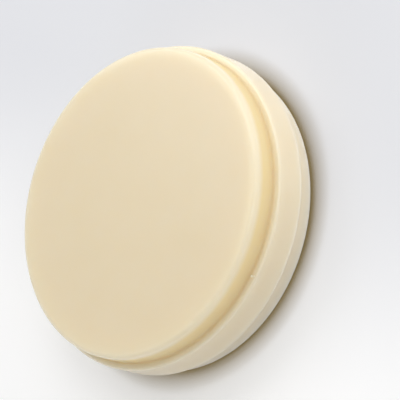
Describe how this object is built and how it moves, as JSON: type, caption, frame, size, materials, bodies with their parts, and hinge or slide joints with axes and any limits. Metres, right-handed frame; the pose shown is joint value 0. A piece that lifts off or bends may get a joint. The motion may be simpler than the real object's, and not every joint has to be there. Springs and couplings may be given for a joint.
{
  "type": "dental milling block",
  "caption": "Round cream acrylic (PMMA) blank with a wider shoulder about its middle, milled into temporary crowns and bridges.",
  "frame": {"origin": "middle of the lower face, which the block lies on", "axes": "+Z along the block's axis, up through the upper face; the block is round, so X and Y are free"},
  "size_m": [0.0984, 0.0984, 0.025],
  "materials": {
    "pmma": "satin, slightly translucent, tooth shade"
  },
  "bodies": {
    "root": {"milling_block": "pmma"}
  },
  "joints": []
}
